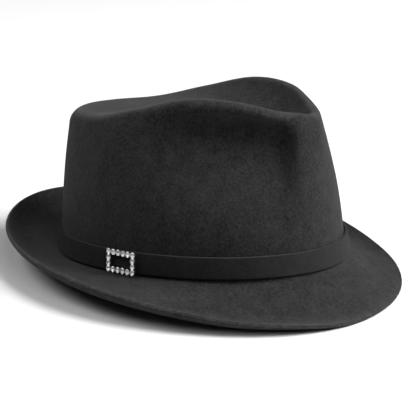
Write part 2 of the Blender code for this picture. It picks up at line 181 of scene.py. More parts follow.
class StudioSettings(bpy.types.PropertyGroup):
    """The floor, the light and the camera."""

    floor_colour: bpy.props.StringProperty(
        name="Floor", description="Colour of the floor, as sRGB hex", default="#bababa")
    sky_strength: bpy.props.FloatProperty(
        name="Sky", description="Strength of the even light all round", default=0.07)
    camera_turn: bpy.props.FloatProperty(
        name="Turn", description="How far forward of the side view the camera stands",
        default=math.radians(28.0), subtype="ANGLE")
    camera_rise: bpy.props.FloatProperty(
        name="Rise", description="How far the camera looks down on the hat's own level",
        default=math.radians(14.4), subtype="ANGLE")
    camera_distance: bpy.props.FloatProperty(
        name="Distance", description="From the camera to the middle of the hat",
        default=1.085, unit="LENGTH")
    camera_height: bpy.props.FloatProperty(
        name="Aim height", description="How high above the head opening the camera aims",
        default=0.0307, unit="LENGTH")
    camera_side: bpy.props.FloatProperty(
        name="Aim side", description="How far to the right of the hat the camera aims",
        default=0.0014, unit="LENGTH")
    view_width: bpy.props.FloatProperty(
        name="View width", description="Width of what the camera sees at the middle of the hat",
        default=0.2783, unit="LENGTH")


def felt_settings():
    return bpy.context.scene.trilby_felt


def band_settings():
    return bpy.context.scene.trilby_band


def buckle_settings():
    return bpy.context.scene.trilby_buckle


def studio_settings():
    return bpy.context.scene.trilby_studio


# Curves and rings of the hat's shape


def ease(share):
    """A soft step from 0 to 1: three squares less two cubes."""
    share = np.clip(share, 0.0, 1.0)
    return share * share * (3.0 - 2.0 * share)


def around(stations, column, angles):
    """A column of a station table as a smooth curve round the hat, the same on its two sides.

    Between stations it is a cubic whose slopes come from the neighbours. Past the front and the back the
    table is mirrored, so the curve crosses both evenly.
    """
    places = [station.angle for station in stations]
    values = [getattr(station, column) for station in stations]
    places = np.array([-places[1], *places, 360.0 - places[-2]])
    values = np.array([values[1], *values, values[-2]])
    slopes = (values[2:] - values[:-2]) / (places[2:] - places[:-2])
    places, values = places[1:-1], values[1:-1]
    turn = np.abs((np.asarray(angles) + 180.0) % 360.0 - 180.0)
    index = np.clip(np.searchsorted(places, turn, side="right") - 1, 0, len(places) - 2)
    span = places[index + 1] - places[index]
    share = (turn - places[index]) / span
    leave = share * (1.0 - share) ** 2
    arrive = share * share * (share - 1.0)
    bend = span * (leave * slopes[index] + arrive * slopes[index + 1])
    return values[index] + (values[index + 1] - values[index]) * ease(share) + bend


def column_angles(columns):
    """Evenly spaced angles round the hat, in degrees from the front."""
    return np.arange(columns) * 360.0 / columns


def foot_oval(angles):
    """The oval where wall and brim meet: the head's half-axes and the felt, times sine and cosine."""
    felt = felt_settings()
    turn = np.radians(angles)
    across = (felt.half_width + felt.thickness) * np.sin(turn)
    along = -(felt.half_length + felt.thickness) * np.cos(turn)
    return np.stack([across, along], axis=-1)


def oval_outward(angles):
    """The oval's outward direction: each half-axis times the other one's sine or cosine, made one long."""
    felt = felt_settings()
    turn = np.radians(angles)
    across = (felt.half_length + felt.thickness) * np.sin(turn)
    along = -(felt.half_width + felt.thickness) * np.cos(turn)
    outward = np.stack([across, along], axis=-1)
    return outward / np.linalg.norm(outward, axis=-1, keepdims=True)


def foot_height(angles):
    """The height of the break between crown and brim."""
    return felt_settings().brim_width * around(BRIM_STATIONS, "foot", angles)


def block_oval(angles):
    """The top of the plain block from above: the foot oval, narrower, and shorter at the front."""
    foot = foot_oval(angles)
    front = ease(0.5 * (1.0 + np.cos(np.radians(angles))))
    length = BLOCK_BACK + (BLOCK_FRONT - BLOCK_BACK) * front
    return np.stack([foot[:, 0] * BLOCK_WIDTH, foot[:, 1] * length], axis=-1)


def ridge_oval(angles):
    """The ridge line seen from above, its height and its radius: the foot oval times the table's shares."""
    felt = felt_settings()
    foot = foot_oval(angles)
    across = foot[:, 0] * around(RIDGE_STATIONS, "width", angles)
    along = foot[:, 1] * around(RIDGE_STATIONS, "length", angles)
    height = felt.crown_height * around(RIDGE_STATIONS, "height", angles)
    radius = felt.ridge_radius * around(RIDGE_STATIONS, "round", angles)
    return np.stack([across, along], axis=-1), height, radius


def crease_span():
    """The middle of the crease and half its length, along the hat."""
    ends = ridge_oval(np.array([0.0, 180.0]))[0][:, 1]
    return 0.5 * (ends[0] + ends[1]), 0.5 * (ends[1] - ends[0]) * CREASE_LENGTH


def dent_direction(angles):
    """From the ridge line to the crease, seen from above: the direction and the distance."""
    ridge = ridge_oval(angles)[0]
    middle = crease_span()[0]
    along = middle + (ridge[:, 1] - middle) * CREASE_LENGTH
    inward = np.stack([np.zeros_like(along), along], axis=-1) - ridge
    reach = np.linalg.norm(inward, axis=-1)
    return inward / reach[:, None], reach


def ridge_start(angles):
    """Where the wall ends and the ridge starts to turn over: plan, height and lean.

    The lean is the wall's own slope there, so the felt runs on without a kink.
    """
    ridge, height, radius = ridge_oval(angles)
    inward = dent_direction(angles)[0]
    foot, block = foot_oval(angles), block_oval(angles)
    steep = (BEND_POWER - PINCH_DEPTH * around(RIDGE_STATIONS, "pinch", angles)) / (1.0 - BEND_START)
    drift = (block - foot) + (ridge - block) * steep[:, None]
    lean = np.arctan2(np.sum(drift * inward, axis=-1), height - radius - foot_height(angles))
    plan = ridge + inward * (radius * (1.0 - np.cos(lean)))[:, None]
    return plan, height - radius + radius * np.sin(lean), lean


def wall_ring(angles, share):
    """One ring of the wall, share 0 at the break and 1 where the ridge starts to turn over.

    In plan it is the oval, drawn in evenly towards a tapered block, plus the way from the block to the
    ridge times the climb cubed. Where there is a pinch, that last term passes the ridge line and comes
    back to it.
    """
    foot, block = foot_oval(angles), block_oval(angles)
    plan, height, lean = ridge_start(angles)
    pinch = around(RIDGE_STATIONS, "pinch", angles)
    climb = max(0.0, (share - BEND_START) / (1.0 - BEND_START))
    bend = climb ** BEND_POWER * (1.0 + PINCH_DEPTH * pinch * (1.0 - climb))
    low = foot_height(angles)
    return np.column_stack([
        foot + (block - foot) * share + (plan - block) * bend[:, None],
        low + (height - low) * share,
    ])


def crease_line(along):
    """The crease's height and slope at a place along the hat: an even step from front to back."""
    middle, half = crease_span()
    share = np.clip(0.5 + 0.5 * (along - middle) / half, 0.0, 1.0)
    height = felt_settings().crown_height
    rise = (CREASE_BACK - CREASE_FRONT) * height
    return CREASE_FRONT * height + rise * ease(share), rise * 3.0 * share * (1.0 - share) / half


def ridge_rings(angles, turn_rows, dent_rows):
    """The rings over the ridge, on an arc, and down the dent, on one cubic curve that arrives at the crease.

    The cubic leaves at the arc's end slope and arrives along the crease, level from side to side.
    """
    ridge, height, radius = ridge_oval(angles)
    inward, reach = dent_direction(angles)
    lean = ridge_start(angles)[2]
    fall = np.radians(around(RIDGE_STATIONS, "fall", angles))
    rings = []
    for row in range(1, turn_rows + 1):
        turn = lean + (0.5 * math.pi + fall - lean) * row / turn_rows
        run = radius * (1.0 - np.cos(turn))
        level = height - radius + radius * np.sin(turn)
        rings.append(np.column_stack([ridge + inward * run[:, None], level]))
    start_run, start_level = run, level
    end_level, end_slope = crease_line(ridge[:, 1] + inward[:, 1] * reach)
    pull = np.hypot(reach - start_run, end_level - start_level)
    for row in range(1, dent_rows + 1):
        share = row / dent_rows
        leave = share * (1.0 - share) ** 2
        arrive = share * share * (share - 1.0)
        run = start_run + (reach - start_run) * ease(share)
        run += pull * (leave * np.cos(fall) + arrive)
        level = start_level + (end_level - start_level) * ease(share)
        level += pull * (arrive * end_slope * inward[:, 1] - leave * np.sin(fall))
        rings.append(np.column_stack([ridge + inward * run[:, None], level]))
    return rings


def brim_ring(angles, share, steps=40):
    """One ring of the brim's top, share 0 at the break and 1 at its edge.

    The slope is the root slope, and past CURL_START it moves to the edge slope as a power of the way left.
    Reach and rise are its cosine and sine added up along the felt.
    """
    root = np.radians(around(BRIM_STATIONS, "root", angles))
    edge = np.radians(around(BRIM_STATIONS, "edge", angles))
    width = felt_settings().brim_width * around(BRIM_STATIONS, "width", angles)
    length = width * share / steps
    reach = np.zeros_like(angles)
    rise = foot_height(angles)
    for step in range(steps):
        place = share * (step + 0.5) / steps
        curl = max(0.0, (place - CURL_START) / (1.0 - CURL_START)) ** CURL_POWER
        slope = root + (edge - root) * curl
        reach = reach + np.cos(slope) * length
        rise = rise + np.sin(slope) * length
    plan = foot_oval(angles) + oval_outward(angles) * reach[:, None]
    return np.column_stack([plan, rise])


Rows = namedtuple("Rows", "brim fillet wall turn dent")
FINE_ROWS = Rows(brim=34, fillet=6, wall=46, turn=9, dent=26)
FELT_COLUMNS = 272


def felt_rings(angles, rows):
    """Every ring of the felt's outer face, from the brim's edge over the crown to the crease.

    The bend between brim and wall is a parabola whose corner is the break.
    """
    felt = felt_settings()
    width = felt.brim_width * around(BRIM_STATIONS, "width", angles)
    corner = brim_ring(angles, 0.0)
    brim_start = float(felt.break_fillet / width.mean())
    wall_start = felt.break_fillet / felt.crown_height
    rings = [brim_ring(angles, 1.0 + (brim_start - 1.0) * row / rows.brim) for row in range(rows.brim)]
    low = brim_ring(angles, brim_start)
    high = wall_ring(angles, wall_start)
    for row in range(rows.fillet + 1):
        share = row / rows.fillet
        rings.append(low * (1.0 - share) ** 2 + corner * 2.0 * share * (1.0 - share) + high * share ** 2)
    for row in range(1, rows.wall + 1):
        rings.append(wall_ring(angles, wall_start + (1.0 - wall_start) * row / rows.wall))
    return rings + ridge_rings(angles, rows.turn, rows.dent)


def wall_frame(angles):
    """At the foot of the wall: its point, its upward direction and its outward direction."""
    foot = wall_ring(angles, 0.0)
    upward = wall_ring(angles, BEND_START) - foot
    upward = upward / np.linalg.norm(upward, axis=-1, keepdims=True)
    outward = np.column_stack([oval_outward(angles), np.zeros_like(angles)])
    outward = outward - upward * np.sum(outward * upward, axis=-1, keepdims=True)
    outward = outward / np.linalg.norm(outward, axis=-1, keepdims=True)
    return foot, upward, outward


# Meshes


def ring_faces(ring_count, columns):
    """The quads between closed rings that follow one another, as one array."""
    ring, column = np.meshgrid(np.arange(ring_count - 1), np.arange(columns), indexing="ij")
    after = (column + 1) % columns
    low, high = ring * columns, (ring + 1) * columns
    return np.stack([low + column, low + after, high + after, high + column], axis=-1).reshape(-1, 4)


def surface_mesh(name, rings):
    """A mesh from closed rings of points, with doubles merged."""
    rings = np.asarray(rings)
    mesh = bpy.data.meshes.new(name)
    mesh.from_pydata(rings.reshape(-1, 3).tolist(), [], ring_faces(*rings.shape[:2]).tolist())
    work = bmesh.new()
    work.from_mesh(mesh)
    bmesh.ops.remove_doubles(work, verts=work.verts, dist=1e-7)
    bmesh.ops.recalc_face_normals(work, faces=work.faces)
    work.to_mesh(mesh)
    work.free()
    return mesh


def mesh_points(mesh):
    """The places of a mesh's vertices as an array."""
    points = np.empty(len(mesh.vertices) * 3)
    mesh.vertices.foreach_get("co", points)
    return points.reshape(-1, 3)


def set_points(mesh, points):
    """Put an array of places back into a mesh."""
    mesh.vertices.foreach_set("co", np.ascontiguousarray(points).ravel())
    mesh.update()


def shade_smooth(mesh, smooth=True):
    mesh.polygons.foreach_set("use_smooth", np.full(len(mesh.polygons), smooth))


def moved(points, matrix):
    """Points carried by a 4 x 4 matrix."""
    matrix = np.array(matrix)
    return points @ matrix[:3, :3].T + matrix[:3, 3]


def add_piece(name, mesh, material, slot, *nodes):
    """Put a finished mesh into the scene as a piece that stands for the CAD nodes."""
    piece = bpy.data.objects.new(name, mesh)
    bpy.context.scene.collection.objects.link(piece)
    mesh.materials.append(material)
    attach(piece, "root")
    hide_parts(*nodes)
    return piece


def with_modifiers(name, mesh, settings):
    """A copy of a mesh with modifiers applied, each given as its type and its values."""
    work = bpy.data.objects.new(name, mesh)
    bpy.context.scene.collection.objects.link(work)
    for kind, values in settings:
        modifier = work.modifiers.new(kind.lower(), kind)
        for key, value in values.items():
            setattr(modifier, key, value)
    bpy.context.view_layer.update()
    graph = bpy.context.evaluated_depsgraph_get()
    finished = bpy.data.meshes.new_from_object(work.evaluated_get(graph))
    bpy.data.objects.remove(work, do_unlink=True)
    finished.name = name
    return finished


# How the hat lies


CAD_COLUMNS = 64
MATCH_TOLERANCE = 0.0005


def box_middle(node):
    low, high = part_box(node)
    return 0.5 * (np.array(low) + np.array(high))


def lying_matrix():
    """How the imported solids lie: the hat's own frame tipped back and let down.

    A column of stones in the buckle shows the tip, as the angle between its direction in the solids and the
    wall's own upward direction. The band's box then shows how far the hat was moved.
    """
    buckle = buckle_settings()
    foot, upward, outward = wall_frame(np.array([buckle.angle]))
    last = 2 * buckle.columns + 2 * (buckle.rows - 2)
    top, bottom = box_middle("stone_01"), box_middle(f"stone_{last - buckle.columns + 1:02d}")
    seen = math.atan2(top[2] - bottom[2], top[1] - bottom[1])
    own = math.atan2(upward[0, 2], upward[0, 1])
    turn = Matrix.Rotation(seen - own, 4, "X")
    band = np.concatenate(band_rings(column_angles(CAD_COLUMNS), band_corners()))
    band = moved(band, turn)
    low, high = (np.array(corner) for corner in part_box("hat_band"))
    if np.abs(np.ptp(band, axis=0) - (high - low)).max() > MATCH_TOLERANCE:
        raise ValueError("the band's size differs from the packed solid's, so the shape's tables don't match it")
    shift = 0.5 * (low + high) - 0.5 * (band.min(axis=0) + band.max(axis=0))
    return Matrix.Translation(Vector(shift)) @ turn


# The felt body


# Painted highlight: how far it reaches from the ridge and from the brim's edge, and the ridge roundness at which
# it has faded out
RIDGE_HIGHLIGHT_REACH = 0.0065
EDGE_HIGHLIGHT_REACH = 0.0045
HIGHLIGHT_BROADEST = 2.1


def blocking_waves(points):
    """How far hand blocking moved each point: a few slow sine waves, added up and scaled."""
    shift = np.zeros(len(points))
    for number, wave in enumerate(BLOCKING_WAVES):
        along = np.array(wave.along) / np.linalg.norm(wave.along)
        shift += wave.share * np.sin(points @ along * 2.0 * math.pi / wave.length + number)
    return shift * felt_settings().waviness


def painted_highlight_share(points):
    """How strongly a highlight is painted at each point: most on the ridge and at the brim's edge, none far off.

    It is a bell of the distance to the nearest point of the line. Where the ridge is broad the bell is low.
    """
    angles = column_angles(FELT_COLUMNS)
    plan, height, radius = ridge_oval(angles)
    ridge = np.column_stack([plan, height])
    sharp = np.clip(HIGHLIGHT_BROADEST - around(RIDGE_STATIONS, "round", angles), 0.0, 1.0)
    edge = brim_ring(angles, 1.0)
    lift = np.zeros(len(points))
    for line, reach, shares in ((ridge, RIDGE_HIGHLIGHT_REACH, sharp), (edge, EDGE_HIGHLIGHT_REACH, np.ones(len(angles)))):
        for place, share in zip(line, shares):
            away = np.sum((points - place) ** 2, axis=-1)
            lift = np.maximum(lift, share * np.exp(-away / reach ** 2))
    return lift


def make_felt_body():
    """Crown and brim in one felt: the rings as an open surface, thickened, its cut edge rounded a little."""
    felt = felt_settings()
    mesh = surface_mesh("trilby_felt", felt_rings(column_angles(FELT_COLUMNS), FINE_ROWS))
    if mesh.polygons[0].normal.z < 0.0:
        mesh.flip_normals()
    points = mesh_points(mesh)
    # A painted highlight, kept on the mesh: how much paler the felt is coloured along the ridge and the brim's
    # edge
    mesh.attributes.new("highlight_paint", "FLOAT", "POINT").data.foreach_set("value", painted_highlight_share(points))
    normals = np.empty(len(points) * 3)
    mesh.vertices.foreach_get("normal", normals)
    set_points(mesh, points + normals.reshape(-1, 3) * blocking_waves(points)[:, None])
    solid = with_modifiers("trilby_felt", mesh, (
        ("SOLIDIFY", {"thickness": felt.thickness, "offset": -1.0, "use_even_offset": True,
                      "use_quality_normals": True}),
        ("BEVEL", {"width": 0.0006, "segments": 3, "limit_method": "ANGLE",
                   "angle_limit": math.radians(50.0)}),
    ))
    points = moved(mesh_points(solid), lying_matrix())
    points[:, 2] = np.maximum(points[:, 2], 0.0)
    set_points(solid, points)
    shade_smooth(solid)
    return add_piece("trilby_felt", solid, wool_felt(), "wool_felt", "felt_body")


# The band


def band_corners():
    """The strap's cross section as in the solids: how high up the wall and how far out."""
    band = band_settings()
    inner, outer = band.gap, band.gap + band.thickness
    low, high = band.lift, band.lift + band.width
    return (
        (low, inner), (low, outer - band.edge), (low + band.edge, outer),
        (high - band.edge, outer), (high, outer - band.edge), (high, inner),
    )


def band_rings(angles, section):
    """The section carried round the foot of the wall: up it and out from it."""
    foot, upward, outward = wall_frame(angles)
    return [foot + upward * height + outward * out for height, out in section]


def rounded_band_section(arc_rows=5, face_rows=8):
    """The strap's cross section with its two outer edges as quarter circles."""
    band = band_settings()
    inner, outer = band.gap, band.gap + band.thickness
    low, high = band.lift, band.lift + band.width
    turn = np.linspace(0.0, 0.5 * math.pi, arc_rows)
    drop, out = band.edge * (1.0 - np.sin(turn)), band.edge * (1.0 - np.cos(turn))
    section = [(low, inner)]
    section += [(low + a, outer - band.edge + b) for a, b in zip(out, band.edge * np.sin(turn))]
    section += [(low + band.edge + (band.width - 2.0 * band.edge) * row / face_rows, outer)
                for row in range(1, face_rows)]
    section += [(high - band.edge + a, outer - b) for a, b in zip(band.edge * np.sin(turn), out)]
    section += [(high, inner)]
    section += [(high + (low - high) * row / face_rows, inner) for row in range(1, face_rows)]
    return section


def make_band():
    """The strap round the foot of the crown: one closed loop of felt."""
    rings = band_rings(column_angles(FELT_COLUMNS), rounded_band_section())
    mesh = surface_mesh("trilby_band", rings + rings[:1])
    set_points(mesh, moved(mesh_points(mesh), lying_matrix()))
    shade_smooth(mesh)
    return add_piece("trilby_band", mesh, strap_felt(), "felt_strap", "hat_band")


# The buckle


def buckle_matrix():
    """The buckle's own frame: X along the band, Y up it, Z outwards, origin on the buckle's back."""
    band, buckle = band_settings(), buckle_settings()
    foot, upward, outward = (Vector(part[0]) for part in wall_frame(np.array([buckle.angle])))
    place = foot + upward * (band.lift + 0.5 * band.width)
    place += outward * (2.0 * band.gap + band.thickness)
    turn = Matrix((upward.cross(outward), upward, outward)).transposed().to_4x4()
    return lying_matrix() @ Matrix.Translation(place) @ turn


def stone_places():
    """Where the stones sit on the frame: all round it, one row and one column thick."""
    buckle = buckle_settings()
    places = []
    for row in range(buckle.rows):
        for column in range(buckle.columns):
            if row in (0, buckle.rows - 1) or column in (0, buckle.columns - 1):
                across = (column - 0.5 * (buckle.columns - 1)) * buckle.pitch
                up = (0.5 * (buckle.rows - 1) - row) * buckle.pitch
                places.append((across, up))
    return places


def turned_rings(profile, columns, centre=(0.0, 0.0)):
    """A profile of radius and height turned about an upright axis."""
    turn = np.arange(columns) * 2.0 * math.pi / columns
    rings = []
    for radius, height in profile:
        across = centre[0] + radius * np.cos(turn)
        up = centre[1] + radius * np.sin(turn)
        rings.append(np.column_stack([across, up, np.full(columns, height)]))
    return rings


def joined_mesh(name, parts):
    """One mesh from several sets of closed rings."""
    points, faces, start = [], [], 0
    for rings in parts:
        rings = np.asarray(rings)
        points.append(rings.reshape(-1, 3))
        faces.append(ring_faces(*rings.shape[:2]) + start)
        start += rings.shape[0] * rings.shape[1]
    mesh = bpy.data.meshes.new(name)
    mesh.from_pydata(np.concatenate(points).tolist(), [], np.concatenate(faces).tolist())
    work = bmesh.new()
    work.from_mesh(mesh)
    bmesh.ops.remove_doubles(work, verts=work.verts, dist=1e-8)
    bmesh.ops.recalc_face_normals(work, faces=work.faces)
    work.to_mesh(mesh)
    work.free()
    return mesh


def rail_rings():
    """The flat back rail: a rounded rectangle carried round a rounded rectangular path, closed on itself."""
    buckle = buckle_settings()
    half = 0.5 * np.array([buckle.columns - 1, buckle.rows - 1]) * buckle.pitch
    radius = 0.0009
    path, out = [], []
    for corner, (x, y) in enumerate(((1, 1), (-1, 1), (-1, -1), (1, -1))):
        turn = np.linspace(0.0, 0.5 * math.pi, 7) + corner * 0.5 * math.pi
        direction = np.column_stack([np.cos(turn), np.sin(turn)])
        path.append(np.array([x, y]) * (half - radius) + direction * radius)
        out.append(direction)
    path, out = np.concatenate(path), np.concatenate(out)
    section = ((-1, 0.1), (-1, 0.9), (-0.8, 1), (0.8, 1), (1, 0.9), (1, 0.1), (0.8, 0), (-0.8, 0), (-1, 0.1))
    wide, high = 0.0007, 0.0009
    return [np.column_stack([path + out * side * wide, np.full(len(path), up * high)])
            for side, up in section]


def cup_profile():
    """A cup's profile: up inside from the floor, over a thin lip and down outside."""
    buckle = buckle_settings()
    inner, outer = buckle.stone_radius + 0.00004, buckle.stone_radius + 0.00022
    floor, lip = 0.0007, buckle.frame_height + 0.0001
    return (
        (0.0, floor), (inner - 0.0002, floor), (inner, floor + 0.0002), (inner, lip - 0.00005),
        (0.5 * (inner + outer), lip + 0.00002), (outer, lip - 0.00005), (outer, 0.00045),
        (outer - 0.0002, 0.0003), (0.0, 0.0003),
    )


def claw_rings(centre, angle):
    """One claw: a small half-round bead that leans over the stone's edge."""
    buckle = buckle_settings()
    reach = buckle.stone_radius + 0.00008
    middle = (centre[0] + reach * math.cos(angle), centre[1] + reach * math.sin(angle))
    base = buckle.frame_height - 0.0002
    size, rise = 0.00030, 0.00052
    profile = [(size * math.cos(turn), base + rise * math.sin(turn))
               for turn in np.linspace(0.0, 0.5 * math.pi, 6)]
    return turned_rings([(0.0, base)] + profile[:-1] + [(0.0, base + rise)], 10, middle)


def make_buckle():
    """The setting: a back rail, a cup for each stone and four claws on each cup."""
    parts = [rail_rings()]
    for centre in stone_places():
        parts.append(turned_rings(cup_profile(), 28, centre))
        for corner in range(4):
            parts.append(claw_rings(centre, math.radians(45.0 + 90.0 * corner)))
    mesh = joined_mesh("buckle_setting", parts)
    set_points(mesh, moved(mesh_points(mesh), buckle_matrix()))
    shade_smooth(mesh)
    mesh.set_sharp_from_angle(angle=math.radians(40.0))
    return add_piece("buckle_setting", mesh, plated_metal(), "plated_metal", "buckle_frame")


# The stones


def stone_points():
    """The corners of a round brilliant: table, crown, girdle and pavilion, as rings of eight or sixteen."""
    radius = buckle_settings().stone_radius
    eighth = np.arange(8) * math.pi / 4.0
    between = eighth + math.pi / 8.0
    sixteenth = np.arange(16) * math.pi / 8.0

    def ring(turn, share, height):
        return np.column_stack([np.cos(turn), np.sin(turn), np.full(len(turn), height / share)]) * share * radius

    table = ring(eighth, 0.56, 0.34)
    crown = ring(between, 0.76, 0.22)
    girdle_top = ring(sixteenth, 1.0, 0.02)
    girdle_low = ring(sixteenth, 1.0, -0.02)
    pavilion = ring(between, 0.42, -0.32)
    culet = np.array([[0.0, 0.0, -0.54 * radius]])
    return np.concatenate([table, crown, girdle_top, girdle_low, pavilion, culet])


def stone_facets():
    """The facets as lists of corners: first the crown's, then the pavilion's."""
    table, crown, top, low, pavilion, culet = 0, 8, 16, 32, 48, 56
    upper = [tuple(range(8))]
    lower = []
    for k in range(8):
        after, before = (k + 1) % 8, (k - 1) % 8
        even, odd, next_even = 2 * k, 2 * k + 1, (2 * k + 2) % 16
        upper.append((table + after, table + k, crown + k))
        upper.append((table + k, crown + before, top + even, crown + k))
        upper.append((crown + k, top + even, top + odd))
        upper.append((crown + k, top + odd, top + next_even))
        lower.append((top + even, low + even, low + odd, top + odd))
        lower.append((top + odd, low + odd, low + next_even, top + next_even))
        lower.append((pavilion + k, low + odd, low + even))
        lower.append((pavilion + k, low + next_even, low + odd))
        lower.append((pavilion + k, low + even, pavilion + before, culet))
    return upper, lower


def make_stones():
    """The cut stones, each in its cup, with a silvered back as such stones have."""
    place = buckle_matrix()
    upper, lower = stone_facets()
    crystal, foil = cut_crystal(), silver_foil()
    corners = stone_points()
    stones = []
    for number, (across, up) in enumerate(stone_places(), start=1):
        name = f"cut_stone_{number:02d}"
        seat = Matrix.Translation((across, up, buckle_settings().frame_height))
        turn = Matrix.Rotation(math.radians(37.0 * number), 4, "Z")
        mesh = bpy.data.meshes.new(name)
        mesh.from_pydata(moved(corners, place @ seat @ turn).tolist(), [], upper + lower)
        work = bmesh.new()
        work.from_mesh(mesh)
        bmesh.ops.recalc_face_normals(work, faces=work.faces)
        work.to_mesh(mesh)
        work.free()
        stone = add_piece(name, mesh, crystal, "crystal", f"stone_{number:02d}")
        mesh.materials.append(foil)
        slots = np.zeros(len(mesh.polygons), dtype=np.int32)
        slots[len(upper):] = 1
        mesh.polygons.foreach_set("material_index", slots)
        shade_smooth(mesh, False)
        stones.append(stone)
    return stones


# Materials


def linear(colour):
    """An sRGB hex colour as linear red, green, blue and one."""
    parts = [int(colour[start:start + 2], 16) / 255.0 for start in (1, 3, 5)]
    curve = [part / 12.92 if part <= 0.04045 else ((part + 0.055) / 1.055) ** 2.4 for part in parts]
    return (*curve, 1.0)


def new_material(name):
    """An empty node material with its output and a Principled shader."""
    material = bpy.data.materials.new(name)
    material.use_nodes = True
    tree = material.node_tree
    tree.nodes.clear()
    output = tree.nodes.new("ShaderNodeOutputMaterial")
    shader = tree.nodes.new("ShaderNodeBsdfPrincipled")
    tree.links.new(shader.outputs["BSDF"], output.inputs["Surface"])
    return material, tree, shader


def add_node(tree, kind, settings=(), values=(), links=()):
    """A node with its settings, its socket values and its links, each given as a pair."""
    node = tree.nodes.new(kind)
    for key, value in dict(settings).items():
        setattr(node, key, value)
    for key, value in dict(values).items():
        node.inputs[key].default_value = value
    for key, source in dict(links).items():
        tree.links.new(source, node.inputs[key])
    return node


# How much paler the colour is made at the full painted highlight
PAINTED_HIGHLIGHT_GAIN = 0.65


def per_metre(millimetres):
    """The scale of a noise whose grain is so many millimetres, on coordinates in metres."""
    return 1000.0 / millimetres


def felt_material(name, colour, mottling, grain_mm, relief, sheen):
    """Felt as a dark fibre mat: uneven dye, matted fibres of one grain, and a fuzzy sheen that lights up edge
    on.

    Where the mesh's attribute says so, the colour is painted paler: a painted highlight along the ridge and the
    brim's edge, standing in for the light that they catch.
    """
    material, tree, shader = new_material(name)
    place = add_node(tree, "ShaderNodeTexCoord").outputs["Object"]
    patches = add_node(tree, "ShaderNodeTexNoise", values={
        "Scale": per_metre(9.0), "Detail": 4.0, "Roughness": 0.6}, links={"Vector": place})
    fibres = add_node(tree, "ShaderNodeTexNoise", values={
        "Scale": per_metre(grain_mm), "Detail": 5.0, "Roughness": 0.72, "Distortion": 0.6},
        links={"Vector": place})
    both = add_node(tree, "ShaderNodeMix", {"data_type": "FLOAT"}, {0: 0.72}, {
        2: patches.outputs["Fac"], 3: fibres.outputs["Fac"]})
    ramp = add_node(tree, "ShaderNodeValToRGB", links={"Fac": both.outputs[0]})
    base = np.array(linear(colour)[:3])
    ramp.color_ramp.elements[0].position = 0.36
    ramp.color_ramp.elements[0].color = (*(base * (1.0 - mottling)), 1.0)
    ramp.color_ramp.elements[1].position = 0.64
    ramp.color_ramp.elements[1].color = (*(base * (1.0 + mottling)), 1.0)
    bump = add_node(tree, "ShaderNodeBump", values={"Strength": 1.0, "Distance": relief},
                    links={"Height": fibres.outputs["Fac"]})
    # Painted highlight: the colour is made paler along the ridge and the brim's edge, where they catch the light
    highlight_paint = add_node(tree, "ShaderNodeAttribute", {"attribute_name": "highlight_paint"})
    highlight_gain = add_node(tree, "ShaderNodeMath", {"operation": "MULTIPLY_ADD"}, {1: PAINTED_HIGHLIGHT_GAIN, 2: 1.0}, {
        0: highlight_paint.outputs["Fac"]})
    highlighted_colour = add_node(tree, "ShaderNodeVectorMath", {"operation": "SCALE"}, links={
        "Vector": ramp.outputs["Color"], "Scale": highlight_gain.outputs["Value"]})
    tree.links.new(highlighted_colour.outputs["Vector"], shader.inputs["Base Color"])
    tree.links.new(bump.outputs["Normal"], shader.inputs["Normal"])
    shader.inputs["Roughness"].default_value = 0.95
    shader.inputs["Specular IOR Level"].default_value = 0.15
    shader.inputs["Sheen Weight"].default_value = sheen
    shader.inputs["Sheen Roughness"].default_value = 0.45
    shader.inputs["Sheen Tint"].default_value = linear("#dadada")
    return material


def wool_felt():
    """Blocked wool felt, steamed and brushed: matt, slightly cloudy, soft against the light."""
    return felt_material("blocked wool felt", felt_settings().colour, 0.9, 1.7, 0.00065, 0.10)


def strap_felt():
    """Pressed strap felt, cut from sheet: denser and darker than the hat's, with a finer grain."""
    return felt_material("pressed strap felt", band_settings().colour, 0.5, 1.2, 0.00025, 0.05)


def plated_metal():
    """Rhodium-plated zinc alloy, cast and tumbled: bright, with faint unevenness from the tumbling."""
    material, tree, shader = new_material("rhodium-plated zinc alloy")
    place = add_node(tree, "ShaderNodeTexCoord").outputs["Object"]
    wear = add_node(tree, "ShaderNodeTexNoise", values={"Scale": per_metre(0.8), "Detail": 3.0},
                    links={"Vector": place})
    rough = add_node(tree, "ShaderNodeMapRange", values={"To Min": 0.12, "To Max": 0.30},
                     links={"Value": wear.outputs["Fac"]})
    tree.links.new(rough.outputs["Result"], shader.inputs["Roughness"])
    shader.inputs["Base Color"].default_value = linear(buckle_settings().metal_colour)
    shader.inputs["Metallic"].default_value = 1.0
    return material


def cut_crystal():
    """Lead crystal, ground and polished: clear, with sharp reflections from flat facets."""
    material, tree, shader = new_material("polished lead crystal")
    shader.inputs["Base Color"].default_value = linear(buckle_settings().crystal_colour)
    shader.inputs["Roughness"].default_value = 0.0
    shader.inputs["IOR"].default_value = 1.58
    shader.inputs["Transmission Weight"].default_value = 1.0
    return material


def silver_foil():
    """Silver foil on a stone's back, a little rough: each stone throws light back and is bright all round."""
    material, tree, shader = new_material("brushed silver foil")
    shader.inputs["Base Color"].default_value = linear("#f6f6f4")
    shader.inputs["Metallic"].default_value = 1.0
    shader.inputs["Roughness"].default_value = 0.28
    return material


def studio_floor():
    """Painted seamless floor, rolled matt: very pale, with a faint unevenness."""
    material, tree, shader = new_material("matt painted floor")
    place = add_node(tree, "ShaderNodeTexCoord").outputs["Object"]
    cloud = add_node(tree, "ShaderNodeTexNoise", values={"Scale": 1.5, "Detail": 2.0}, links={"Vector": place})
    ramp = add_node(tree, "ShaderNodeValToRGB", links={"Fac": cloud.outputs["Fac"]})
    pale = np.array(linear(studio_settings().floor_colour)[:3])
    ramp.color_ramp.elements[0].color = (*(pale * 0.985), 1.0)
    ramp.color_ramp.elements[1].color = (*pale, 1.0)
    tree.links.new(ramp.outputs["Color"], shader.inputs["Base Color"])
    shader.inputs["Roughness"].default_value = 0.9
    shader.inputs["Specular IOR Level"].default_value = 0.1
    return material


# The studio


SENSOR = 0.036


